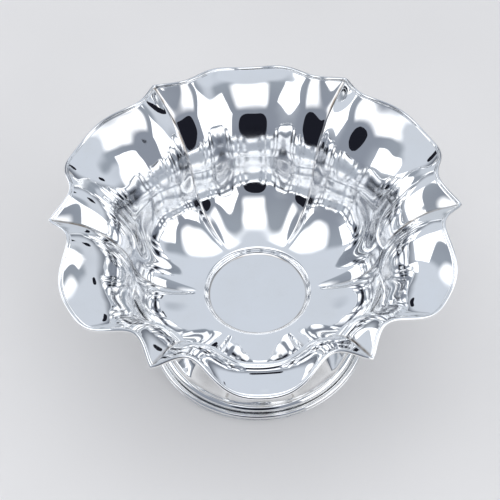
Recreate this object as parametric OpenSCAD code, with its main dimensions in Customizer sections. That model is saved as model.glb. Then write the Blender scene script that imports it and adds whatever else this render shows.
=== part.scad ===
// Footed punch bowl in polished silver plate. The sheet bowl has six lobes.
// The folds between them run out to points on the rim, and the rim carries an
// applied round wire. A hollow spun foot, with a wire of its own round the
// base, is soldered beneath the well in the bowl's floor.
// Z is up, the origin is the middle of the foot's rest face, and +X runs
// towards a rim point.

/* [Bowl sheet] */
// Number of lobes round the bowl
lobes = 6; // [5:1:8]
// Thickness of the bowl's sheet
sheet_t = 1.5; // [1:0.1:2.2]
// Radius of the sheet's edge at the middle of a lobe
rim_r = 181; // [174:1:200]
// Height of that edge above the bowl's floor
rim_h = 105.6; // [103.6:0.5:125]
// Slope of the lip at its edge
rim_slope = 2; // [-4:1:12]
// Width of the lip, from where the wall has levelled out to the edge
lip_w = 17.5; // [12:0.5:24]
// Depth of the lip's start below the edge
lip_drop = 1.1; // [0.5:0.1:6]
// Slope of the wall where the lip starts
lip_slope = 13; // [8:1:30]
// Radius of the steep band of the wall
waist_r = 118.5; // [110:0.5:130]
// Height of the steep band above the floor
waist_h = 51; // [40:0.5:60]
// Slope of the steep band
waist_slope = 79; // [60:1:82]
// Slope of the floor as it leaves the well
floor_slope = 2; // [1:1:12]

/* [Folds between the lobes] */
// Angle from the crease to the crest of the fold, at the rim
crest_angle = 9; // [6:0.5:12]
// The same angle where the fold runs out on the floor
crest_angle_low = 4.5; // [2:0.1:6]
// Radius from which the folds keep their full angle
fold_open_r = 143; // [125:1:165]
// How far the crest stands in from the lobe, at the rim
crest_inset = 19.6; // [8:0.1:24]
// How far the rim point stands in from the lobe
tip_inset = 3.7; // [0:0.1:8]
// How far the crest rises above the lobe, at the rim
crest_rise = 16.7; // [6:0.1:22]
// How far the rim point rises above the lobe
tip_rise = 8.6; // [0:0.1:16]
// Height of the crests where a fold crosses the floor
ridge_h = 4.4; // [0:0.1:6]
// Depth of the groove between them
groove_depth = 3.5; // [0:0.1:4.5]
// Distance from the well's ring to the inner end of a fold
fold_start = 2.5; // [2:0.5:15]

/* [Well in the floor] */
// Radius of the ring where the floor drops into the well
ring_r = 51; // [50:0.5:56]
// Depth of the well below the ring
well_depth = 5; // [2:0.1:6]
// Width of the well's sloping side
well_side = 7; // [3.5:0.1:8]

/* [Rim wire] */
// Diameter of the wire on the bowl's edge
rim_wire_d = 3.2; // [2.6:0.1:5]

/* [Foot] */
// Height of the foot, from its rest face to its top face
foot_h = 59; // [50:1:80]
// Radius of the base, over the base wire
base_r = 102; // [95:0.5:115]
// Thickness of the foot's sheet
foot_t = 1.6; // [1.2:0.1:2.2]
// Distance of the top flange's edge from the well's side
flange_gap = 1.5; // [0.5:0.1:3.5]
// Width of the flat of the top flange
flange_w = 3; // [2:0.5:6]
// Radius of the neck
neck_r = 36.5; // [32:0.5:38]
// Distance of the neck below the foot's top face
neck_drop = 12; // [9:0.5:16]
// Slope of the foot's sweep where it meets the moulding
sweep_slope = 12; // [5:1:25]
// Diameter of the round moulding's section
moulding_d = 10.5; // [8:0.5:12]

/* [Base wire] */
// Diameter of the wire on the base flange
base_wire_d = 5.2; // [4:0.1:6.5]
// Gap between the base wire and the moulding
base_wire_gap = 0.3; // [0.2:0.1:1.5]

/* [Hidden] */
$fn = 96;

silver = [0.80, 0.82, 0.85];
silver_wire = [0.87, 0.88, 0.90];

// The bowl stands with the underside of its well on the foot's top face.
well_r = ring_r - well_side;
well_z = foot_h + sheet_t;
floor_z = well_z + well_depth;
fold_r = ring_r + fold_start;

// Steps along each half lobe and up each span of the wall
crest_steps = 4;
lobe_steps = 6;
half_steps = crest_steps + lobe_steps;
columns = 2 * half_steps * lobes;
span_steps = [7, 7, 3];
lobe_angle = 360 / lobes;

// ---- Curves -------------------------------------------------------------

function unit(v) = v / norm(v);
function heading(a) = [cos(a), sin(a)];

// Point at t on the cubic curve that leaves p at slope a and reaches q at
// slope b. j and k are its handles' lengths as shares of the chord.
function sweep(p, a, q, b, j, k, t) =
    let (c = norm(q - p), u = p + j * c * heading(a), v = q - k * c * heading(b), s = 1 - t)
    s * s * s * p + 3 * s * s * t * u + 3 * s * t * t * v + t * t * t * q;

function sweep_path(p, a, q, b, j, k, steps, first = 0) =
    [for (i = [first:steps]) sweep(p, a, q, b, j, k, i / steps)];

function arc(centre, r, from, to, steps, first = 0) =
    [for (i = [first:steps]) centre + r * heading(from + (to - from) * i / steps)];

// Left-hand normal of a path at its point i, as long as an offset's corner needs
function corner(path, i) =
    let (
        a = i > 0 ? unit(path[i] - path[i - 1]) : unit(path[1] - path[0]),
        b = i < len(path) - 1 ? unit(path[i + 1] - path[i]) : a,
        m = [-a[1] - b[1], a[0] + b[0]]
    )
    m / (1 + a * b);

function beside(path, d) = [for (i = [0:len(path) - 1]) path[i] + d * corner(path, i)];

// ---- Bowl surface -------------------------------------------------------

// Middle line of a lobe, from the well's ring to the edge, in three spans:
// the floor turning up to the steep band, the shoulder, and the lip.
meridian_points =
    [[ring_r, 0], [waist_r, waist_h], [rim_r - lip_w, rim_h - lip_drop], [rim_r, rim_h]];
meridian_slopes = [floor_slope, waist_slope, lip_slope, rim_slope];
meridian_handles = [[0.44, 0.44], [0.2, 0.37], [0.36, 0.36]];
spans = len(meridian_handles);

function meridian(s) =
    let (i = min(floor(s), spans - 1), h = meridian_handles[i])
    sweep(meridian_points[i], meridian_slopes[i], meridian_points[i + 1], meridian_slopes[i + 1],
        h[0], h[1], s - i);

// Share of the way from a to b, held between 0 and 1
function share(x, a, b) = max(0, min(1, (x - a) / (b - a)));

// How sharply the folds deepen and rise towards the edge
fold_growth = 1.3;
lift_growth = 2.5;
// How far the crease keeps beside the crests on the floor, as a share of
// their inset, and how it leaves them from a radius outwards
crease_share = 0.6;
crease_r = 100;
crease_growth = 1.7;
// How quickly the inset and the rise fade from a crest to the middle of a lobe
inset_fade = 4;
rise_fade = 2.4;

// Strength of the inset, the rise and the floor's ridges at radius r, from 0 to 1
function fold(r) = pow(sin(90 * share(r, fold_r, rim_r)), fold_growth);
function lift(r) = pow(share(r, waist_r, rim_r), lift_growth);
function swell(r) = sin(180 * share(r, fold_r, waist_r));

// Angle of the crests at radius r, and the crease's share of their inset
function crest_at(r) =
    crest_angle_low + (crest_angle - crest_angle_low) * sin(90 * share(r, fold_r, fold_open_r));
function crease_in(r) =
    crease_share
        + (tip_inset / crest_inset - crease_share) * pow(share(r, crease_r, rim_r), crease_growth);

// Rise from the crease (0) to the crest (1), and the fall from there to the
// middle of the lobe (0), for an angle f from the crease
function flank(f, crest) = sin(90 * f / crest);
function fall(f, crest, fade) =
    pow(max(0, cos(90 * (f - crest) / (lobe_angle / 2 - crest))), fade);
function crease_to_lobe(f, crest, low, fade) =
    f < crest ? low + (1 - low) * flank(f, crest) : fall(f, crest, fade);

// Point of the inner face at place s on the meridian and azimuth a
function inner(s, a) =
    let (
        m = meridian(s),
        turn = a - lobe_angle * floor(a / lobe_angle),
        f = min(turn, lobe_angle - turn),
        crest = crest_at(m[0]),
        in = crest_inset * fold(m[0]) * m[0] / rim_r
            * crease_to_lobe(f, crest, crease_in(m[0]), inset_fade),
        rise = crest_rise * lift(m[0]) * crease_to_lobe(f, crest, tip_rise / crest_rise, rise_fade),
        ridge = f < crest ? ridge_h - groove_depth * (1 - flank(f, crest))
            : ridge_h * fall(f, crest, rise_fade),
        r = m[0] - in
    )
    [r * cos(a), r * sin(a), floor_z + m[1] + rise + swell(m[0]) * ridge];

// Steps of place and of azimuth over which the surface's normal is measured
place_step = 0.02;
turn_step = 0.05;

// Normal of the inner face, pointing out through the sheet
function outward(s, a) =
    unit(cross(
        inner(s, a + turn_step) - inner(s, a - turn_step),
        inner(min(s + place_step, spans), a) - inner(max(s - place_step, 0), a)));

// Azimuth of a column at place s: the columns keep to the crests, so they
// close up towards the crease as the fold narrows.
function azimuth(s, c) =
    let (
        lobe = floor(c / (2 * half_steps)),
        k = c - lobe * 2 * half_steps,
        h = min(k, 2 * half_steps - k),
        crest = crest_at(meridian(s)[0]),
        f = h < crest_steps ? crest * h / crest_steps
            : crest + (lobe_angle / 2 - crest) * (h - crest_steps) / lobe_steps
    )
    lobe * lobe_angle + (k == h ? f : lobe_angle - f);

// ---- Meshes -------------------------------------------------------------

// Points on a grid of a ten-thousandth of a millimetre, so that pieces that
// meet share their points exactly
function snap(points) = [for (p = points) [for (x = p) round(x * 10000) / 10000]];

// Two triangles for each cell between ring i and ring j, of n points each.
// Two pieces that share a strip split its cells along the same diagonals, so
// one of them is split back.
function band(i, j, n, back = false) = [for (c = [0:n - 1])
    let (d = (c + 1) % n, p = i * n + c, q = i * n + d, u = j * n + c, v = j * n + d)
    each back ? [[p, q, u], [q, v, u]] : [[p, v, u], [p, q, v]]];

places = [for (i = [0:spans - 1]) for (k = [0:span_steps[i] - 1]) i + k / span_steps[i], spans];

function turned(p) = [for (c = [0:columns - 1]) let (a = azimuth(0, c))
    [p[0] * cos(a), p[0] * sin(a), p[1]]];

// Length of both handles of the well's side, as a share of its chord
well_handle = 0.45;
// The well's face and underside, as a profile from the edge of its flat to
// just short of the ring
well_profile = sweep_path([well_r, well_z], 0, [ring_r, floor_z], floor_slope,
    well_handle, well_handle, 5);
well_under = beside(well_profile, -sheet_t);

module bowl_body() {
    well = [for (i = [0:len(well_profile) - 2]) turned(well_profile[i])];
    wall = [for (s = places) [for (c = [0:columns - 1]) inner(s, azimuth(s, c))]];
    wall_out = [for (s = places) [for (c = [0:columns - 1])
        inner(s, azimuth(s, c)) + sheet_t * outward(s, azimuth(s, c))]];
    well_out = [for (i = [0:len(well_under) - 2]) turned(well_under[i])];
    up = concat(well, wall);
    down = concat(well_out, wall_out);
    n = len(up);
    rings = concat([for (r = up) each r], [for (i = [n - 1:-1:0]) each down[i]]);
    last = 2 * n - 1;
    color(silver)
        polyhedron(
            points = snap(concat(rings, [[0, 0, well_z], [0, 0, foot_h]])),
            faces = concat(
                [for (i = [n:last - 1]) each band(i, i + 1, columns)],
                band(n - 1, n, columns, back = true),
                [for (i = [n - 2:-1:0]) each band(i, i + 1, columns)],
                [for (c = [0:columns - 1]) [len(rings), (c + 1) % columns, c]],
                [for (c = [0:columns - 1])
                    [len(rings) + 1, last * columns + c, last * columns + (c + 1) % columns]]),
            convexity = 10);
}

// Middle of the wire's section above the sheet's edge: the edge is a chord
// of the section, so the wire sits on the full thickness of the sheet.
rim_wire_r = rim_wire_d / 2;
rim_wire_seat = sqrt(rim_wire_r * rim_wire_r - sheet_t * sheet_t / 4);
rim_wire_sides = 8;

module rim_wire() {
    edge = [for (c = [0:columns - 1]) inner(spans, azimuth(spans, c))];
    half_chord = asin(sheet_t / 2 / rim_wire_r);
    section = arc([sheet_t / 2, rim_wire_seat], rim_wire_r,
        -90 - half_chord, -450 + half_chord, rim_wire_sides - 1);
    rings = [for (c = [0:columns - 1]) let (
            p = edge[c],
            n = outward(spans, azimuth(spans, c)),
            a = unit(cross(n, edge[c] - edge[(c + columns - 1) % columns])),
            b = unit(cross(n, edge[(c + 1) % columns] - edge[c])),
            m = (a + b) / (1 + a * b)
        )
        [for (q = section) p + q[0] * n + q[1] * m]];
    color(silver_wire)
        polyhedron(
            points = snap([for (r = rings) each r]),
            faces = [for (c = [0:columns - 1]) each band(c, (c + 1) % columns, rim_wire_sides)],
            convexity = 10);
}

// ---- Foot ---------------------------------------------------------------

flange_r = well_r - flange_gap;
moulding_r = moulding_d / 2;
// Angles at which the round moulding takes over from the sweep and runs
// into the base flange
moulding_start = 100;
moulding_end = -50;
moulding_at = [base_r - base_wire_d - base_wire_gap - moulding_r,
    foot_t - moulding_r * sin(moulding_end)];

// Lengths of the handles of the collar's curve and of the long sweep's curve,
// as shares of their chords
collar_handle = 0.5;
sweep_handles = [0.42, 0.55];

// Outer face of the foot's sheet: the top flange's lower face, the neck, the
// long sweep, the round moulding and the top of the base flange
foot_profile = concat(
    [[flange_r, foot_h - foot_t]],
    sweep_path([flange_r - flange_w, foot_h - foot_t], 180, [neck_r, foot_h - neck_drop], 270,
        collar_handle, collar_handle, 5),
    sweep_path([neck_r, foot_h - neck_drop], 270,
        moulding_at + moulding_r * heading(moulding_start), -sweep_slope,
        sweep_handles[0], sweep_handles[1], 10, 1),
    arc(moulding_at, moulding_r, moulding_start, moulding_end, 10, 1),
    [[base_r, foot_t]]);

module foot_body() {
    inner_face = beside(foot_profile, -foot_t);
    color(silver)
        rotate_extrude()
            polygon(concat(foot_profile,
                [for (i = [len(inner_face) - 1:-1:0]) inner_face[i]]));
}

// Height of the base wire's middle above its flat, as a share of its radius
base_wire_seat = 0.8;

module base_wire() {
    wire_r = base_wire_d / 2;
    color(silver_wire)
        rotate_extrude()
            translate([base_r - wire_r, foot_t + base_wire_seat * wire_r])
                intersection() {
                    circle(wire_r);
                    translate([-wire_r, -base_wire_seat * wire_r])
                        square([2 * wire_r, 2 * wire_r]);
                }
}

bowl_body();
rim_wire();
foot_body();
base_wire();
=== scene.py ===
"""Footed punch bowl in mirror-polished silver plate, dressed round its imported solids.

The bowl is one sheet with a flat well, six lobes and six folds that run out to
points on the rim. A round wire is soldered along its edge, and a hollow spun
foot with a wire of its own carries it. Everything is in metres, in the frame
of the solids: Z is up and +X runs towards a point of the rim.
"""

import logging
import math
from dataclasses import dataclass
from enum import Enum
from typing import Sequence, Union

import bmesh
import bpy
from mathutils import Matrix, Vector


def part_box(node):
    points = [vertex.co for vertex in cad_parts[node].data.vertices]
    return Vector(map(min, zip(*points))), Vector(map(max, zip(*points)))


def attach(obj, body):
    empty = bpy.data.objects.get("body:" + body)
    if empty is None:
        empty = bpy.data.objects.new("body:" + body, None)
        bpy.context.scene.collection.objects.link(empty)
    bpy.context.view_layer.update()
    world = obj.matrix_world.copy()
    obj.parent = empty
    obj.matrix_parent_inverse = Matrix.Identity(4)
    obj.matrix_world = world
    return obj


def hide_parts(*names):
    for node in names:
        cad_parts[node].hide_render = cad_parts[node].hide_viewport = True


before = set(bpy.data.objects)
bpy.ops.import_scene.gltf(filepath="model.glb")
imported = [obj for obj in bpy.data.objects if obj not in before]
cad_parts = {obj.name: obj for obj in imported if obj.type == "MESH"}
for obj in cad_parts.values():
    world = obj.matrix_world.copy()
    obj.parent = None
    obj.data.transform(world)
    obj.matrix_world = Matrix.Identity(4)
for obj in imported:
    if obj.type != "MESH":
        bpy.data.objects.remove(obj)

log = logging.getLogger("punch_bowl")
MM = 0.001
WELD = 1e-7
BODY = "root"

Colour = tuple[float, float, float]
# A ramp is 0 up to its first value and 1 from its second, which may be the smaller one.
Ramp = tuple[float, float]


# ---- Curves ---------------------------------------------------------------


def heading(angle: float) -> Vector:
    """Unit vector at an angle in degrees."""
    return Vector((math.cos(math.radians(angle)), math.sin(math.radians(angle))))


@dataclass(frozen=True)
class Station:
    """A point that a meridian passes through, with its slope in degrees."""

    r: float
    h: float
    slope: float

    @property
    def point(self) -> Vector:
        """The station as a vector of radius and height."""
        return Vector((self.r, self.h))


def sweep(a: Station, b: Station, start: float, end: float, t: float) -> Vector:
    """Cubic curve from one station to another.

    Args:
        a: Station that the curve leaves.
        b: Station that it reaches.
        start: Length of the first handle, as a share of the chord.
        end: Length of the second handle, as a share of the chord.
        t: Place along the curve, from 0 to 1.

    Returns:
        Radius and height at that place.
    """
    chord = (b.point - a.point).length
    u = a.point + start * chord * heading(a.slope)
    v = b.point - end * chord * heading(b.slope)
    s = 1.0 - t
    return s**3 * a.point + 3 * s * s * t * u + 3 * s * t * t * v + t**3 * b.point


def arc(centre: Vector, radius: float, start: float, end: float, steps: int) -> list[Vector]:
    """Points along an arc, both ends included.

    Args:
        centre: Middle of the arc, as radius and height.
        radius: Radius of the arc.
        start: Angle at which it starts, in degrees.
        end: Angle at which it ends, in degrees.
        steps: Number of chords.

    Returns:
        The points in order.
    """
    return [centre + radius * heading(start + (end - start) * i / steps) for i in range(steps + 1)]


def share(x: float, low: float, high: float) -> float:
    """Share of the way from low to high, held between 0 and 1."""
    return max(0.0, min(1.0, (x - low) / (high - low)))


def quarter(x: float) -> float:
    """Sine over a quarter turn: 0 at 0 and 1 at 1."""
    return math.sin(math.pi / 2 * x)


# ---- The lobed surface ----------------------------------------------------


@dataclass
class LobedSheet:
    """The inner face of the bowl, as a formula of place and azimuth.

    A place runs from 0 at the ring round the well, through the steep band and
    the start of the lip, to 3 at the sheet's edge.
    """

    floor_z: float
    lobes: int = 6

    # The meridian down the middle of a lobe, and the handles of its three spans.
    ring: Station = Station(51 * MM, 0.0, 2)
    waist: Station = Station(118.5 * MM, 51 * MM, 79)
    lip: Station = Station(163.5 * MM, 104.5 * MM, 13)
    edge: Station = Station(181 * MM, 105.6 * MM, 2)
    handles: tuple[tuple[float, float], ...] = ((0.44, 0.44), (0.20, 0.37), (0.36, 0.36))

    # A fold starts outside the ring. On either side of its crease it has a crest, at an
    # angle in degrees that grows until the fold is open.
    crest_angle_low: float = 4.5
    crest_angle: float = 9.0
    fold_start: float = 2.5 * MM
    fold_open_r: float = 143 * MM

    # How far the crests and the rim points draw in and rise at the edge, and how high the
    # ridges and how deep the groove of a fold are on the floor.
    crest_inset: float = 19.6 * MM
    tip_inset: float = 3.7 * MM
    crest_rise: float = 16.7 * MM
    tip_rise: float = 8.6 * MM
    ridge_h: float = 4.4 * MM
    groove_depth: float = 3.5 * MM

    # A crease's inset as a share of its crests', the radius from which that changes, and
    # the rounding along the crease, which reaches so many times its own radius.
    crease_share: float = 0.6
    crease_r: float = 100 * MM
    crease_round: float = 0.7 * MM
    round_reach: float = 4.0

    # Powers by which each of these sets in or dies away.
    fold_power: float = 1.3
    lift_power: float = 2.5
    crease_power: float = 1.7
    inset_power: float = 4.0
    rise_power: float = 2.4

    # Steps over which the normal is worked out.
    place_step: float = 0.02
    azimuth_step: float = 0.05

    @property
    def spans(self) -> int:
        """Number of spans of the meridian."""
        return len(self.handles)

    @property
    def lobe_angle(self) -> float:
        """Angle of one lobe, in degrees."""
        return 360.0 / self.lobes

    def meridian(self, place: float) -> Vector:
        """Middle line of a lobe.

        Args:
            place: Place from 0 to 3.

        Returns:
            Radius, and height above the floor.
        """
        stations = (self.ring, self.waist, self.lip, self.edge)
        i = min(int(place), self.spans - 1)
        return sweep(stations[i], stations[i + 1], *self.handles[i], place - i)

    @property
    def fold_r(self) -> float:
        """Radius at which the folds run out on the floor."""
        return self.ring.r + self.fold_start

    def fold(self, r: float) -> float:
        """Strength of the folds' inset at a radius, from 0 at their inner ends to 1 at the edge."""
        return quarter(share(r, self.fold_r, self.edge.r)) ** self.fold_power

    def lift(self, r: float) -> float:
        """Strength of the folds' rise at a radius, from 0 at the steep band to 1 at the edge."""
        return share(r, self.waist.r, self.edge.r) ** self.lift_power

    def swell(self, r: float) -> float:
        """Strength of the ridges that the folds make on the floor."""
        return math.sin(math.pi * share(r, self.fold_r, self.waist.r))

    def crest(self, r: float) -> float:
        """Angle in degrees between a crease and the crests beside it."""
        opening = quarter(share(r, self.fold_r, self.fold_open_r))
        return self.crest_angle_low + (self.crest_angle - self.crest_angle_low) * opening

    def crease_in(self, r: float) -> float:
        """Inset of a crease.

        Args:
            r: Radius on the meridian.

        Returns:
            The inset, as a share of the inset of the crests beside it.
        """
        leaving = share(r, self.crease_r, self.edge.r) ** self.crease_power
        at_tip = self.tip_inset / self.crest_inset
        return self.crease_share + (at_tip - self.crease_share) * leaving

    def point(self, place: float, azimuth: float) -> Vector:
        """Point of the inner face.

        Args:
            place: Place on the meridian.
            azimuth: Azimuth in degrees. The creases are at multiples of the lobe angle.

        Returns:
            The point.
        """
        r, h = self.meridian(place)
        turn = azimuth % self.lobe_angle
        off = min(turn, self.lobe_angle - turn)
        soft = math.degrees(self.crease_round / r)
        off = math.hypot(off, soft) if off < self.round_reach * soft else off
        crest = self.crest(r)
        if off < crest:
            flank = quarter(off / crest)
            inset = self.crease_in(r) + (1 - self.crease_in(r)) * flank
            rise = self.tip_rise + (self.crest_rise - self.tip_rise) * flank
            ridge = self.ridge_h - self.groove_depth * (1 - flank)
        else:
            beyond = (off - crest) / (self.lobe_angle / 2 - crest)
            fall = max(0.0, math.cos(math.pi / 2 * beyond))
            inset, settling = fall**self.inset_power, fall**self.rise_power
            rise, ridge = self.crest_rise * settling, self.ridge_h * settling
        a = math.radians(azimuth)
        out = r - self.crest_inset * self.fold(r) * inset * r / self.edge.r
        up = h + self.lift(r) * rise + self.swell(r) * ridge
        return Vector((out * math.cos(a), out * math.sin(a), self.floor_z + up))

    def outward(self, place: float, azimuth: float) -> Vector:
        """Normal of the inner face.

        Args:
            place: Place on the meridian.
            azimuth: Azimuth in degrees.

        Returns:
            Unit vector that points out through the sheet.
        """
        high = min(place + self.place_step, self.spans)
        low = max(place - self.place_step, 0)
        along = self.point(high, azimuth) - self.point(low, azimuth)
        turn = self.azimuth_step
        around = self.point(place, azimuth + turn) - self.point(place, azimuth - turn)
        return around.cross(along).normalized()

    def azimuth(self, place: float, column: int, crest_columns: int, half_columns: int) -> float:
        """Azimuth of a column, which keeps to the crests as the folds narrow.

        Args:
            place: Place on the meridian.
            column: Number of the column, counted from a crease.
            crest_columns: Columns between a crease and a crest.
            half_columns: Columns between a crease and the middle of a lobe.

        Returns:
            Azimuth in degrees.
        """
        lobe, k = divmod(column, 2 * half_columns)
        h = min(k, 2 * half_columns - k)
        crest = self.crest(self.meridian(place)[0])
        if h < crest_columns:
            off = crest * h / crest_columns
        else:
            plain = self.lobe_angle / 2 - crest
            off = crest + plain * (h - crest_columns) / (half_columns - crest_columns)
        return lobe * self.lobe_angle + (off if k <= half_columns else self.lobe_angle - off)


# ---- Pieces ---------------------------------------------------------------


def spin(bm: bmesh.types.BMesh, path: Sequence[Vector], steps: int, closed: bool = False,
         layer: bmesh.types.BMLayerItem | None = None) -> None:
    """Spin a path of radii and heights round Z into a surface, and weld its seam.

    Args:
        bm: Mesh that receives the surface.
        path: The path's points.
        steps: Steps of the full turn.
        closed: Whether the path's last point joins its first.
        layer: Layer that takes the number of each vertex along the path.
    """
    verts = [bm.verts.new((p[0], 0.0, p[1])) for p in path]
    if layer is not None:
        for i, v in enumerate(verts):
            v[layer] = i
    pairs = list(zip(verts, verts[1:])) + ([(verts[-1], verts[0])] if closed else [])
    edges = [bm.edges.new(pair) for pair in pairs]
    bmesh.ops.spin(bm, geom=verts + edges, axis=(0, 0, 1), cent=(0, 0, 0), angle=math.tau,
                   steps=steps, use_merge=True, use_duplicate=False)
    bmesh.ops.remove_doubles(bm, verts=bm.verts, dist=WELD)


def face_out(bm: bmesh.types.BMesh) -> None:
    """Point the faces of a closed mesh outwards.

    Args:
        bm: The mesh, whose doubles are merged.
    """
    bmesh.ops.recalc_face_normals(bm, faces=bm.faces)
    if bm.calc_volume(signed=True) < 0:
        bmesh.ops.reverse_faces(bm, faces=bm.faces)


def column_of(co: Vector, columns: int) -> int:
    """Number of the spun column that a vertex lies on."""
    return round(math.atan2(co.y, co.x) / math.tau * columns) % columns


def piece_from(bm: bmesh.types.BMesh, name: str, smooth: bool = True) -> bpy.types.Object:
    """Turn a finished bmesh into an object at the origin.

    Args:
        bm: The mesh, which is freed.
        name: Name of the piece.
        smooth: Whether its faces are shaded smooth.

    Returns:
        The new object.
    """
    mesh = bpy.data.meshes.new(name)
    for face in bm.faces:
        face.smooth = smooth
    bm.to_mesh(mesh)
    bm.free()
    piece = bpy.data.objects.new(name, mesh)
    bpy.context.scene.collection.objects.link(piece)
    return piece


class Part:
    """One soldered piece of the bowl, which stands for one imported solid."""

    name: str
    node: str
    slot: str

    def build(self) -> bpy.types.Object:
        """Make the piece's mesh."""
        raise NotImplementedError

    def dress(self, finish: bpy.types.Material) -> bpy.types.Object:
        """Build the piece, finish it, tie it to its body and hide the solid that it stands for.

        Args:
            finish: Material of the whole piece.

        Returns:
            The finished piece.
        """
        piece = self.build()
        piece.data.materials.append(finish)
        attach(piece, BODY)
        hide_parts(self.node)
        return piece


@dataclass
class Bowl(Part):
    """The bowl's sheet: well, floor, lobed wall and lip, with an even thickness."""

    sheet: LobedSheet
    sheet_t: float = 1.5 * MM
    well_r: float = 44 * MM
    well_depth: float = 5 * MM
    well_handle: float = 0.45

    # Rows of the mesh along the meridian, and its columns over half a lobe.
    flat_shares: tuple[float, ...] = (0.0, 0.25, 0.5, 0.75, 0.9)
    well_rows: int = 12
    span_rows: tuple[int, ...] = (34, 42, 12)
    crest_columns: int = 12
    half_columns: int = 29

    name: str = "bowl_sheet"
    node: str = "bowl_body"
    slot: str = "silver"

    @property
    def columns(self) -> int:
        """Columns round the whole bowl."""
        return 2 * self.half_columns * self.sheet.lobes

    def places(self) -> list[float]:
        """Places of the rows of the wall, from the ring to the edge."""
        rows = [i + k / n for i, n in enumerate(self.span_rows) for k in range(n)]
        return rows + [float(self.sheet.spans)]

    def well(self) -> list[Vector]:
        """Profile of the well.

        Returns:
            Radii and heights from its middle to just short of the ring.
        """
        corner = Station(self.well_r, -self.well_depth, 0)
        flat = [Vector((self.well_r * k, -self.well_depth)) for k in self.flat_shares]
        slope = [sweep(corner, self.sheet.ring, self.well_handle, self.well_handle,
                       i / self.well_rows) for i in range(self.well_rows)]
        return [p + Vector((0, self.sheet.floor_z)) for p in flat + slope]

    def azimuth(self, place: float, column: int) -> float:
        """Azimuth in degrees of a column at a place."""
        return self.sheet.azimuth(place, column, self.crest_columns, self.half_columns)

    def build(self) -> bpy.types.Object:
        """Spin the sheet, fold it and give it its thickness.

        Returns:
            The sheet as an object.
        """
        places, well = self.places(), self.well()
        bm = bmesh.new()
        row = bm.verts.layers.int.new("row")
        wall = [Vector((r, h + self.sheet.floor_z)) for r, h in map(self.sheet.meridian, places)]
        spin(bm, well + wall, self.columns, layer=row)
        for v in bm.verts:
            place = places[max(0, v[row] - len(well))]
            azimuth = self.azimuth(place, column_of(v.co, self.columns))
            if v[row] >= len(well):
                v.co = self.sheet.point(place, azimuth)
            else:
                r, a = v.co.xy.length, math.radians(azimuth)
                v.co = (r * math.cos(a), r * math.sin(a), v.co.z)
        bmesh.ops.recalc_face_normals(bm, faces=bm.faces)
        self._face_up(bm)
        bmesh.ops.solidify(bm, geom=bm.faces[:], thickness=self.sheet_t)
        return piece_from(bm, self.name)

    @staticmethod
    def _face_up(bm: bmesh.types.BMesh) -> None:
        """Point the faces to the bowl's inside, so that the thickness goes outwards.

        Args:
            bm: The single skin of the sheet.
        """
        bm.normal_update()
        if sum(f.normal.z * f.calc_area() for f in bm.faces) < 0:
            bmesh.ops.reverse_faces(bm, faces=bm.faces)
            bm.normal_update()


@dataclass
class RimWire(Part):
    """The round wire soldered along the sheet's edge."""

    bowl: Bowl
    wire_d: float = 3.2 * MM
    sides: int = 20
    name: str = "rim_wire_run"
    node: str = "rim_wire"
    slot: str = "silver_wire"

    def section(self) -> list[Vector]:
        """Outline of the wire, with a flat seat as wide as the sheet is thick.

        Returns:
            Points as places through the sheet and beyond its edge.
        """
        r, half = self.wire_d / 2, self.bowl.sheet_t / 2
        seat = math.sqrt(r * r - half * half)
        chord = math.degrees(math.asin(half / r))
        middle = Vector((half, seat))
        return arc(middle, r, -90 - chord, -90 - 360 + chord, self.sides - 1)

    def build(self) -> bpy.types.Object:
        """Spin a ring of the wire's section and lay it along the folded edge.

        Returns:
            The wire as an object.
        """
        edge_r, columns, section = self.bowl.sheet.edge.r, self.bowl.columns, self.section()
        bm = bmesh.new()
        mark = bm.verts.layers.int.new("side")
        ring = [Vector((edge_r + m, n)) for n, m in section]
        spin(bm, ring, columns, closed=True, layer=mark)
        frames = self._frames()
        for v in bm.verts:
            origin, normal, beyond = frames[column_of(v.co, columns)]
            n, m = section[v[mark]]
            v.co = origin + n * normal + m * beyond
        face_out(bm)
        return piece_from(bm, self.name)

    def _frames(self) -> list[tuple[Vector, Vector, Vector]]:
        """Where the wire's section stands at each column.

        Returns:
            The edge's point, the sheet's normal and the mitred direction beyond the edge.
        """
        sheet, columns = self.bowl.sheet, self.bowl.columns
        end = float(sheet.spans)
        turns = [self.bowl.azimuth(end, c) for c in range(columns)]
        points = [sheet.point(end, a) for a in turns]
        frames = []
        for c, azimuth in enumerate(turns):
            normal = sheet.outward(end, azimuth)
            a = normal.cross(points[c] - points[c - 1]).normalized()
            b = normal.cross(points[(c + 1) % columns] - points[c]).normalized()
            frames.append((points[c], normal, (a + b) / (1 + a.dot(b))))
        return frames


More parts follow.
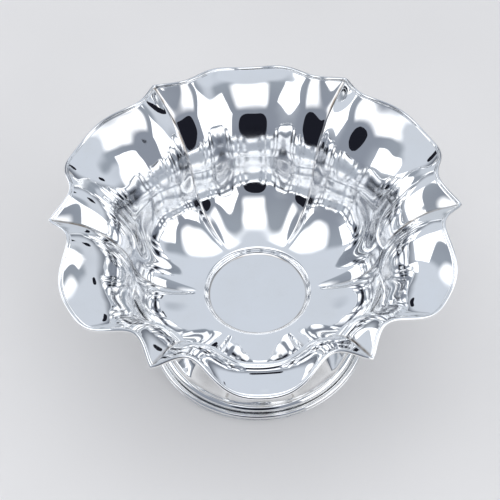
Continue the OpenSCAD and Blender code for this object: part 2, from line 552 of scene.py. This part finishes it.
@dataclass
class Foot(Part):
    """The hollow spun foot: top flange, neck, sweep, round moulding and base flange."""

    height: float
    base_r: float = 102 * MM
    sheet_t: float = 1.6 * MM

    # The flange under the well, the neck and the sweep down to the moulding.
    flange_r: float = 42.5 * MM
    flange_w: float = 3 * MM
    neck_r: float = 36.5 * MM
    neck_drop: float = 12 * MM
    collar_handles: tuple[float, float] = (0.5, 0.5)
    collar_rows: int = 12
    skirt_handles: tuple[float, float] = (0.42, 0.55)
    skirt_rows: int = 40
    sweep_slope: float = 12.0

    # The moulding, which runs round from one angle to the other, and the wire outside it.
    moulding_d: float = 10.5 * MM
    moulding_start: float = 100.0
    moulding_end: float = -50.0
    moulding_rows: int = 24
    wire_d: float = 5.2 * MM
    wire_gap: float = 0.3 * MM

    # Edges that are sharper than the angle, in degrees, are rounded.
    edge_angle: float = 50.0
    edge_round: float = 0.25 * MM
    steps: int = 192

    name: str = "foot_spinning"
    node: str = "foot_body"
    slot: str = "silver"

    @property
    def moulding_at(self) -> Vector:
        """Middle of the moulding's section.

        Returns:
            Its radius and height.
        """
        r = self.moulding_d / 2
        drop = r * math.sin(math.radians(self.moulding_end))
        return Vector((self.base_r - self.wire_d - self.wire_gap - r, self.sheet_t - drop))

    def outer_face(self) -> list[Vector]:
        """Profile of the outer face.

        Returns:
            Radii and heights from the top flange to the base flange's edge.
        """
        under = self.height - self.sheet_t
        r = self.moulding_d / 2
        start = self.moulding_at + r * heading(self.moulding_start)
        collar_top = Station(self.flange_r - self.flange_w, under, 180)
        neck = Station(self.neck_r, self.height - self.neck_drop, 270)
        skirt_end = Station(start.x, start.y, -self.sweep_slope)
        collar = [sweep(collar_top, neck, *self.collar_handles, i / self.collar_rows)
                  for i in range(self.collar_rows)]
        skirt = [sweep(neck, skirt_end, *self.skirt_handles, i / self.skirt_rows)
                 for i in range(self.skirt_rows)]
        bead = arc(self.moulding_at, r, self.moulding_start, self.moulding_end, self.moulding_rows)
        flange = [Vector((self.flange_r - k * self.flange_w, under)) for k in (0.0, 0.5)]
        return flange + collar + skirt + bead + [Vector((self.base_r, self.sheet_t))]

    def build(self) -> bpy.types.Object:
        """Spin the outer face with an inner face a sheet's thickness away.

        Returns:
            The foot as an object.
        """
        outer = self.outer_face()
        inner = [p - self.sheet_t * self._corner(outer, i) for i, p in enumerate(outer)]
        bm = bmesh.new()
        spin(bm, outer + inner[::-1], self.steps, closed=True)
        face_out(bm)
        sharp = [e for e in bm.edges if len(e.link_faces) == 2
                 and e.calc_face_angle(0.0) > math.radians(self.edge_angle)]
        bmesh.ops.bevel(bm, geom=sharp, offset=self.edge_round, segments=2, profile=0.5,
                        affect="EDGES", material=-1)
        return piece_from(bm, self.name)

    @staticmethod
    def _corner(path: Sequence[Vector], i: int) -> Vector:
        """Left-hand normal of a path at one of its points.

        Args:
            path: The path's points.
            i: Number of the point.

        Returns:
            The normal, lengthened at a corner so that both sides move by the same distance.
        """
        a = (path[i] - path[i - 1]).normalized() if i else (path[1] - path[0]).normalized()
        b = (path[i + 1] - path[i]).normalized() if i < len(path) - 1 else a
        return Vector((-a.y - b.y, a.x + b.x)) / (1 + a.dot(b))


@dataclass
class BaseWire(Part):
    """The round wire that lies on the base flange.

    Its middle stands over the flange at a share of its radius, so that it has a flat seat.
    """

    foot: Foot
    seat: float = 0.8
    sides: int = 28
    name: str = "base_wire_ring"
    node: str = "base_wire"
    slot: str = "silver_wire"

    def build(self) -> bpy.types.Object:
        """Spin the wire's section, flattened where it sits on the flange.

        Returns:
            The wire as an object.
        """
        r = self.foot.wire_d / 2
        centre = Vector((self.foot.base_r - r, self.foot.sheet_t + self.seat * r))
        section = arc(centre, r, 0, 360, self.sides)[:-1]
        bm = bmesh.new()
        spin(bm, section, self.foot.steps, closed=True)
        for v in bm.verts:
            v.co.z = max(v.co.z, self.foot.sheet_t)
        face_out(bm)
        return piece_from(bm, self.name)


# ---- Finishes -------------------------------------------------------------


class Maths(Enum):
    """Operations of a Math node that the finishes use."""

    ADD = "ADD"
    SUBTRACT = "SUBTRACT"
    MULTIPLY = "MULTIPLY"
    DIVIDE = "DIVIDE"
    POWER = "POWER"
    ABSOLUTE = "ABSOLUTE"
    FRACTION = "FRACT"
    ANGLE = "ARCTAN2"


Number = Union["Channel", float]


class Channel:
    """A number that a shader works out, which takes part in Python expressions."""

    def __init__(self, shader: "Shader", socket: bpy.types.NodeSocket) -> None:
        """Wrap a socket of a shader."""
        self.shader = shader
        self.socket = socket

    def _maths(self, kind: Maths, a: Number, b: Number | None = None) -> "Channel":
        """Add a Math node on one or two values."""
        values = {0: a} if b is None else {0: a, 1: b}
        return self.shader.number("ShaderNodeMath", {"operation": kind.value}, values)

    def __add__(self, other: Number) -> "Channel":
        """Sum."""
        return self._maths(Maths.ADD, self, other)

    __radd__ = __add__

    def __mul__(self, other: Number) -> "Channel":
        """Product."""
        return self._maths(Maths.MULTIPLY, self, other)

    __rmul__ = __mul__

    def __sub__(self, other: Number) -> "Channel":
        """Difference."""
        return self._maths(Maths.SUBTRACT, self, other)

    def __rsub__(self, other: Number) -> "Channel":
        """Difference from a number on the left."""
        return self._maths(Maths.SUBTRACT, other, self)

    def __truediv__(self, other: Number) -> "Channel":
        """Quotient."""
        return self._maths(Maths.DIVIDE, self, other)

    def __pow__(self, other: Number) -> "Channel":
        """Power."""
        return self._maths(Maths.POWER, self, other)

    def __abs__(self) -> "Channel":
        """Size without sign."""
        return self._maths(Maths.ABSOLUTE, self)

    def fraction(self) -> "Channel":
        """What is left over from the whole number below."""
        return self._maths(Maths.FRACTION, self)

    def angle_to(self, other: "Channel") -> "Channel":
        """Angle in radians of the point (other, self)."""
        return self._maths(Maths.ANGLE, self, other)

    def between(self, low: float, high: float) -> "Channel":
        """Smooth ramp over the channel.

        Args:
            low: Where the ramp is 0.
            high: Where it is 1. It may be below low.

        Returns:
            The ramp.
        """
        falls = low > high
        return self.shader.number(
            "ShaderNodeMapRange", {"interpolation_type": "SMOOTHSTEP"},
            {"Value": self, "From Min": min(low, high), "From Max": max(low, high),
             "To Min": 1.0 if falls else 0.0, "To Max": 0.0 if falls else 1.0})


@dataclass(frozen=True)
class Noise:
    """Cloudy noise over a piece, with its scale in cycles per metre.

    A shift keeps two noises from lining up, and a ramp makes a mask of the noise.
    """

    scale: float
    detail: float
    shift: tuple[float, float, float] = (0, 0, 0)
    stretch: tuple[float, float, float] = (1, 1, 1)
    ramp: Ramp | None = None
    roughness: float = 0.55


Paint = Colour | bpy.types.NodeSocket


def rgba(colour: Colour) -> tuple[float, float, float, float]:
    """A colour with full alpha."""
    return (*colour, 1.0)


class Shader:
    """A material, world or lamp under construction, with one method that adds any node."""

    # Sockets of a Mix node's colours, which share their names with those of its numbers.
    MIX_A = 6
    MIX_B = 7
    MIXTURE = 2

    def __init__(self, owner: bpy.types.ID, place: str = "Object") -> None:
        """Clear the owner's nodes.

        Args:
            owner: The new material, world or lamp.
            place: The coordinates that its textures and ramps use.
        """
        self.owner = owner
        owner.use_nodes = True
        self.tree = owner.node_tree
        self.tree.nodes.clear()
        self.place = self.node("ShaderNodeTexCoord", {}, {}).outputs[place]

    @classmethod
    def material(cls, name: str) -> "Shader":
        """Start an empty material."""
        return cls(bpy.data.materials.new(name))

    def node(self, kind: str, settings: dict[str, object],
             values: dict[str | int, object]) -> bpy.types.Node:
        """Add a node.

        Args:
            kind: The node's type.
            settings: Its own settings, set first.
            values: Numbers, colours, sockets or channels of its inputs.

        Returns:
            The node.
        """
        node = self.tree.nodes.new(kind)
        for key, value in settings.items():
            setattr(node, key, value)
        for key, value in values.items():
            source = value.socket if isinstance(value, Channel) else value
            if isinstance(source, bpy.types.NodeSocket):
                self.tree.links.new(source, node.inputs[key])
            else:
                node.inputs[key].default_value = source
        return node

    def number(self, kind: str, settings: dict[str, object], values: dict[str | int, object],
               output: str | int = 0) -> Channel:
        """Add a node and wrap one of its outputs as a channel."""
        return Channel(self, self.node(kind, settings, values).outputs[output])

    def noise(self, noise: Noise) -> Channel:
        """Add a noise over the shader's coordinates.

        Args:
            noise: Its size, detail, place and ramp.

        Returns:
            The noise, or the mask that its ramp makes of it.
        """
        place = self.node("ShaderNodeMapping", {"vector_type": "POINT"}, {
            "Vector": self.place, "Scale": noise.stretch, "Location": noise.shift})
        cloud = self.number("ShaderNodeTexNoise", {"noise_dimensions": "3D"}, {
            "Vector": place.outputs[0], "Scale": noise.scale, "Detail": noise.detail,
            "Roughness": noise.roughness}, "Fac")
        return cloud.between(*noise.ramp) if noise.ramp else cloud

    def blend(self, factor: Number, a: Paint, b: Paint) -> bpy.types.NodeSocket:
        """Mix two colours.

        Args:
            factor: Share of the second.
            a: The first colour, or a socket that gives it.
            b: The second.

        Returns:
            Socket of the mixture.
        """
        first, second = (rgba(paint) if isinstance(paint, tuple) else paint for paint in (a, b))
        node = self.node("ShaderNodeMix", {"data_type": "RGBA"}, {
            "Factor": factor, self.MIX_A: first, self.MIX_B: second})
        return node.outputs[self.MIXTURE]

    def split(self, vector: bpy.types.NodeSocket | None = None) -> tuple[Channel, Channel, Channel]:
        """X, Y and Z of a vector, or of the shader's coordinates."""
        node = self.node("ShaderNodeSeparateXYZ", {}, {"Vector": vector or self.place})
        return tuple(Channel(self, out) for out in node.outputs)


@dataclass(frozen=True)
class SilverPlate:
    """Mirror-polished silver plate with faint clouds and polish hairs.

    With creases, it also has a little tarnish along them and in the corner of the
    well, and a softer polish on the inner face of the steep wall, with painted shade
    there: a darker, bluer colour that dims the reflection.
    """

    name: str
    creases: int = 0

    # The silver, with faint warmer clouds and smudges on it.
    bright: Colour = (0.945, 0.95, 0.955)
    warm: Colour = (0.90, 0.895, 0.88)
    clouds: Noise = Noise(14, 3, ramp=(0.35, 0.7))
    cloud_share: float = 0.6
    smudges: Noise = Noise(75, 4, shift=(3, 1, 2), ramp=(0.45, 0.75))
    smudge_share: float = 0.25

    # The polish, and how much rougher it is where the clouds and smudges lie.
    polish: float = 0.025
    haze: float = 0.05
    smear: float = 0.012

    # Slow waves and ripples of the beaten sheet, and polish hairs that cross.
    waves: Noise = Noise(26, 1, shift=(7, 2, 4))
    ripples: Noise = Noise(60, 0, shift=(1, 8, 3))
    ripple_share: float = 0.3
    unevenness: float = 1.2 * MM
    hairs_along: Noise = Noise(900, 2, stretch=(1, 0.06, 0.2))
    hairs_across: Noise = Noise(900, 2, stretch=(0.08, 1, 0.3))
    hair_depth: float = 0.02 * MM
    hair_strength: float = 0.02

    # Tarnish along the creases, more of it towards the rim, and in the well's corner.
    tarnish: Colour = (0.26, 0.21, 0.16)
    patches: Noise = Noise(60, 3, shift=(5, 5, 5), ramp=(0.35, 0.65))
    crease_w: float = 2.2 * MM
    crease_r: Ramp = (62 * MM, 85 * MM)
    crease_z: Ramp = (70 * MM, 170 * MM)
    crease_least: float = 0.35
    corner_r: float = 45 * MM
    corner_w: float = 1.3 * MM
    corner_least: float = 0.35
    corner_patchy: float = 0.4
    over_foot: Ramp = (57.5 * MM, 59.5 * MM)

    # The softer polish, between two heights, on faces whose normal points to the middle,
    # and the painted shade there: a darker, bluer colour that dims the reflection.
    painted_steep_shade: Colour = (0.68, 0.695, 0.72)
    painted_shade_least: float = 0.5
    steep_haze: float = 0.08
    steep_low: Ramp = (85 * MM, 100 * MM)
    steep_high: Ramp = (150 * MM, 135 * MM)
    facing_in: Ramp = (0.0, -10 * MM)

    def make(self) -> bpy.types.Material:
        """Build the material.

        Returns:
            The material.
        """
        shader = Shader.material(self.name)
        cloud, smudge = shader.noise(self.clouds), shader.noise(self.smudges)
        stain = cloud * self.cloud_share + smudge * self.smudge_share
        colour = shader.blend(stain, self.bright, self.warm)
        rough = self.polish + self.haze * cloud * smudge + self.smear * smudge
        if self.creases:
            colour = shader.blend(self._tarnish_mask(shader), colour, self.tarnish)
            steep = self._steep_mask(shader)
            rough = rough + steep * self.steep_haze
            # Painted shade: the steep wall's inner face is tinted darker and bluer, more so under
            # the smudges, so that its reflection looks dim.
            painted_shade_share = self.painted_shade_least + (1 - self.painted_shade_least) * smudge
            colour = shader.blend(steep * painted_shade_share, colour, self.painted_steep_shade)
        surface = shader.node("ShaderNodeBsdfPrincipled", {}, {
            "Base Color": colour, "Metallic": 1.0, "Roughness": rough,
            "Normal": self._relief(shader)})
        shader.node("ShaderNodeOutputMaterial", {}, {"Surface": surface.outputs[0]})
        return shader.owner

    def _relief(self, shader: Shader) -> bpy.types.NodeSocket:
        """Waves of the sheet with fine polish hairs over them.

        Args:
            shader: The material's shader.

        Returns:
            Socket of the bumped normal.
        """
        waves = shader.noise(self.waves) + shader.noise(self.ripples) * self.ripple_share
        hairs = shader.noise(self.hairs_along) + shader.noise(self.hairs_across)
        uneven = shader.node("ShaderNodeBump", {}, {
            "Height": waves, "Strength": 1.0, "Distance": self.unevenness})
        return shader.node("ShaderNodeBump", {}, {
            "Height": hairs, "Strength": self.hair_strength, "Distance": self.hair_depth,
            "Normal": uneven.outputs[0]}).outputs[0]

    def _steep_mask(self, shader: Shader) -> Channel:
        """Inner face of the steep wall, which a polishing wheel hardly reaches, and where
        shade is painted into the colour.

        Args:
            shader: The material's shader.

        Returns:
            The mask.
        """
        x, y, z = shader.split()
        normal = shader.node("ShaderNodeTexCoord", {}, {}).outputs["Normal"]
        across, along, _ = shader.split(normal)
        inside = (x * across + y * along).between(*self.facing_in)
        return inside * z.between(*self.steep_low) * z.between(*self.steep_high)

    def _tarnish_mask(self, shader: Shader) -> Channel:
        """Narrow lines along the creases and round the well's corner, but not on the foot.

        The half in the turn puts each crease at a fraction of 0.5, and the 10 keeps the
        turn above 0.

        Args:
            shader: The material's shader.

        Returns:
            The mask.
        """
        x, y, z = shader.split()
        radius = (x * x + y * y) ** 0.5
        lobe = math.tau / self.creases
        turn = y.angle_to(x) / lobe + 10.5
        off = abs(turn.fraction() - 0.5) * lobe
        lines = (radius * off).between(self.crease_w, 0.0) * radius.between(*self.crease_r)
        patches = shader.noise(self.patches)
        rising = z.between(*self.crease_z) * patches
        strength = self.crease_least + (1 - self.crease_least) * rising
        corner = abs(radius - self.corner_r).between(self.corner_w, 0.0)
        patchy = self.corner_least + self.corner_patchy * patches
        return (lines * strength + corner * patchy) * z.between(*self.over_foot)


@dataclass(frozen=True)
class StudioFloor:
    """Matt pale floor with a very faint unevenness of tone."""

    name: str = "pale_floor"
    light: Colour = (0.80, 0.80, 0.81)
    dark: Colour = (0.77, 0.77, 0.78)
    clouds: Noise = Noise(3, 2, ramp=(0.3, 0.7))
    rough: float = 0.85

    def make(self) -> bpy.types.Material:
        """Build the material.

        Returns:
            The material.
        """
        shader = Shader.material(self.name)
        tone = shader.blend(shader.noise(self.clouds), self.light, self.dark)
        surface = shader.node("ShaderNodeBsdfPrincipled", {}, {
            "Base Color": tone, "Roughness": self.rough})
        shader.node("ShaderNodeOutputMaterial", {}, {"Surface": surface.outputs[0]})
        return shader.owner


# ---- Studio ---------------------------------------------------------------


def direction(azimuth: float, elevation: float) -> Vector:
    """Unit vector of an azimuth and an elevation in degrees."""
    a, e = math.radians(azimuth), math.radians(elevation)
    return Vector((math.cos(a) * math.cos(e), math.sin(a) * math.cos(e), math.sin(e)))


@dataclass(frozen=True)
class Panel:
    """A flat panel hung round the bowl.

    It is square to the line from the bowl's middle, or to a direction of its own.
    """

    name: str
    azimuth: float
    elevation: float
    distance: float
    width: float
    height: float
    square_to: tuple[float, float] | None = None

    def pose(self, aim: Vector) -> Matrix:
        """Place and turn of the panel.

        Args:
            aim: Point that the panel faces.

        Returns:
            Matrix with the panel's X level and its Z away from the point.
        """
        away = direction(self.azimuth, self.elevation)
        normal = direction(*self.square_to) if self.square_to else away
        turn = normal.to_track_quat("Z", "Y").to_matrix().to_4x4()
        return Matrix.Translation(aim + self.distance * away) @ turn


@dataclass(frozen=True)
class Softbox(Panel):
    """A lit white rectangular panel that fades towards its edges."""

    feather: float = 0.06
    radiance: float = 1.12

    @property
    def power(self) -> float:
        """Power that gives a panel of this size its radiance."""
        return self.radiance * math.pi * self.width * self.height

    def hang(self, aim: Vector) -> None:
        """Hang the panel round a point.

        Args:
            aim: Point that the panel faces.
        """
        lamp = bpy.data.lights.new(self.name, "AREA")
        lamp.shape = "RECTANGLE"
        lamp.size, lamp.size_y = self.width, self.height
        lamp.energy = self.power
        self._fade(lamp)
        panel = bpy.data.objects.new(self.name, lamp)
        bpy.context.scene.collection.objects.link(panel)
        panel.matrix_world = self.pose(aim)
        panel.visible_camera = False

    def _fade(self, lamp: bpy.types.Light) -> None:
        """Dim a lamp towards its edges, over the feather's share of each side.

        Args:
            lamp: The lamp.
        """
        shader = Shader(lamp)
        spot = shader.node("ShaderNodeNewGeometry", {}, {}).outputs["Parametric"]
        across, along, _ = shader.split(spot)
        across, along = ((0.5 - abs(channel - 0.5)).between(0.0, self.feather)
                         for channel in (across, along))
        glow = shader.node("ShaderNodeEmission", {}, {"Color": across * along, "Strength": 1.0})
        shader.node("ShaderNodeOutputLight", {}, {"Surface": glow.outputs[0]})


@dataclass(frozen=True)
class BlackCard(Panel):
    """A dark card with rounded corners that only reflections show.

    The corner's radius is a share of half the card's short side.
    """

    corner: float = 0.9
    shade: Colour = (0.012, 0.013, 0.02)
    corner_steps: int = 12

    def outline(self) -> list[Vector]:
        """Outline of the card.

        Returns:
            Its points, anticlockwise.
        """
        r = self.corner * min(self.width, self.height) / 2
        x, y = self.width / 2 - r, self.height / 2 - r
        middles = (Vector((x, y)), Vector((-x, y)), Vector((-x, -y)), Vector((x, -y)))
        return [p for i, middle in enumerate(middles)
                for p in arc(middle, r, 90 * i, 90 * i + 90, self.corner_steps)]

    def hang(self, aim: Vector) -> None:
        """Hang the card round a point.

        Args:
            aim: Point that the card faces.
        """
        bm = bmesh.new()
        bm.faces.new([bm.verts.new((*p, 0.0)) for p in self.outline()])
        bm.transform(self.pose(aim))
        card = piece_from(bm, self.name, smooth=False)
        shader = Shader.material(self.name)
        glow = shader.node("ShaderNodeEmission", {}, {"Color": rgba(self.shade), "Strength": 1.0})
        shader.node("ShaderNodeOutputMaterial", {}, {"Surface": glow.outputs[0]})
        card.data.materials.append(shader.owner)
        card.visible_camera = card.visible_diffuse = card.visible_shadow = False


@dataclass(frozen=True)
class View:
    """The camera: where it stands, how it is turned and how narrow it sees.

    Its place and its angles, in degrees, are those of a bowl with a rim point straight
    to the right. Then the whole view swings round the bowl.
    """

    place: tuple[float, float, float] = (0.0, -0.8314, 1.2235)
    pitch: float = 52.83
    yaw: float = -0.391
    roll: float = -2.034
    swing: float = -0.6
    lens: float = 110.49
    sensor: float = 36.0

    def _axes(self) -> Matrix:
        """Turn of the camera before the swing.

        Returns:
            Matrix whose X points to the view's right, its Y up and its Z back.
        """
        pitch, yaw, roll = (math.radians(v) for v in (self.pitch, self.yaw, self.roll))
        level = Vector((math.cos(yaw), -math.sin(yaw), 0.0))
        ahead = Vector((math.sin(yaw) * math.cos(pitch), math.cos(yaw) * math.cos(pitch),
                        -math.sin(pitch)))
        above = level.cross(ahead)
        right = math.cos(roll) * level + math.sin(roll) * above
        up = -math.sin(roll) * level + math.cos(roll) * above
        return Matrix((right, up, -ahead)).transposed()

    def set_up(self) -> None:
        """Make the camera and set it as the scene's."""
        data = bpy.data.cameras.new("camera")
        data.lens, data.sensor_width = self.lens, self.sensor
        camera = bpy.data.objects.new("camera", data)
        bpy.context.scene.collection.objects.link(camera)
        swing = Matrix.Rotation(math.radians(self.swing), 3, "Z")
        stand = Matrix.Translation(swing @ Vector(self.place))
        camera.matrix_world = stand @ (swing @ self._axes()).to_4x4()
        bpy.context.scene.camera = camera


@dataclass(frozen=True)
class Surroundings:
    """Pale room that is darker on one side, towards the horizon and beside the overhead light.

    Matt surfaces are lit evenly from all round, so that their colours show as they are,
    and the camera sees an even pale backdrop.
    """

    # The room beyond the bowl, on the camera's side, low down and beside the overhead light.
    far: Colour = (0.64, 0.69, 0.77)
    near: Colour = (0.27, 0.30, 0.36)
    horizon: Colour = (0.17, 0.19, 0.23)
    gap: Colour = (0.33, 0.37, 0.43)

    # What lights matt surfaces, and what the camera sees.
    even: Colour = (0.66, 0.665, 0.68)
    backdrop: Colour = (0.76, 0.77, 0.79)

    # Where the room changes, in the parts of a unit vector that points into it.
    far_z: Ramp = (0.0, 0.26)
    near_y: Ramp = (0.35, -0.7)
    gap_x: Ramp = (0.22, 0.42)
    gap_y: Ramp = (0.46, 0.22)
    gap_z: Ramp = (0.45, 0.65)

    def make(self) -> bpy.types.World:
        """Build the world.

        Returns:
            The world.
        """
        shader = Shader(bpy.data.worlds.new("studio"), "Generated")
        x, y, z = shader.split()
        room = shader.blend(z.between(*self.far_z), self.horizon, self.far)
        gaps = abs(x).between(*self.gap_x) * y.between(*self.gap_y) * z.between(*self.gap_z)
        room = shader.blend(gaps, room, self.gap)
        room = shader.blend(y.between(*self.near_y), room, self.near)
        for rays, colour in (("Is Diffuse Ray", self.even), ("Is Camera Ray", self.backdrop)):
            seen = shader.number("ShaderNodeLightPath", {}, {}, rays)
            room = shader.blend(seen, room, colour)
        back = shader.node("ShaderNodeBackground", {}, {"Color": room, "Strength": 1.0})
        shader.node("ShaderNodeOutputWorld", {}, {"Surface": back.outputs[0]})
        return shader.owner


@dataclass
class Studio:
    """Pale floor, soft light from above and the sides, dark cards and the camera."""

    view: View
    aim: Vector
    floor_half: float = 6.0
    softboxes: tuple[Softbox, ...] = (
        Softbox("softbox_overhead", -92, 81, 1.5, 1.50, 1.98, feather=0.27),
        Softbox("softbox_right", -32, 31, 1.5, 1.70, 1.35, square_to=(0, 0)),
        Softbox("softbox_left", 173, 30, 1.5, 1.00, 0.86),
        Softbox("softbox_low_left", 141, 9, 1.5, 0.58, 0.48),
    )
    cards: tuple[BlackCard, ...] = (
        BlackCard("card_camera", -94, 25, 1.6, 1.12, 1.14, corner=1.0),
        BlackCard("card_back", 40, 25, 1.6, 0.32, 0.22),
        BlackCard("card_far", 93, 18, 1.6, 0.46, 0.24),
        BlackCard("card_low_left", -168, 5, 1.6, 0.80, 0.22),
    )

    def build(self) -> None:
        """Lay the floor, hang the lights and cards and set up the camera."""
        self._floor()
        bpy.context.scene.world = Surroundings().make()
        for panel in (*self.softboxes, *self.cards):
            panel.hang(self.aim)
        self.view.set_up()
        bpy.context.scene.view_settings.view_transform = "Standard"

    def _floor(self) -> None:
        """Level floor under the bowl."""
        bm = bmesh.new()
        bmesh.ops.create_grid(bm, x_segments=1, y_segments=1, size=self.floor_half)
        floor = piece_from(bm, "studio_floor", smooth=False)
        floor.data.materials.append(StudioFloor().make())


def main() -> None:
    """Build every piece, dress it, and set the studio round it."""
    logging.basicConfig(level=logging.INFO, format="%(message)s")
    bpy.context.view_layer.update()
    foot_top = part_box("foot_body")[1].z
    foot = Foot(height=foot_top)
    bowl = Bowl(LobedSheet(floor_z=foot_top + Bowl.sheet_t + Bowl.well_depth))
    plate = SilverPlate("silver_plate", creases=bowl.sheet.lobes).make()
    wire = SilverPlate("silver_wire_plate", polish=0.035).make()
    for part, finish in ((bowl, plate), (RimWire(bowl), wire), (foot, plate),
                         (BaseWire(foot), wire)):
        piece = part.dress(finish)
        log.info("%s: %d faces", piece.name, len(piece.data.polygons))
    Studio(View(), aim=Vector((0, 0, foot_top))).build()


if __name__ == "__main__":
    main()
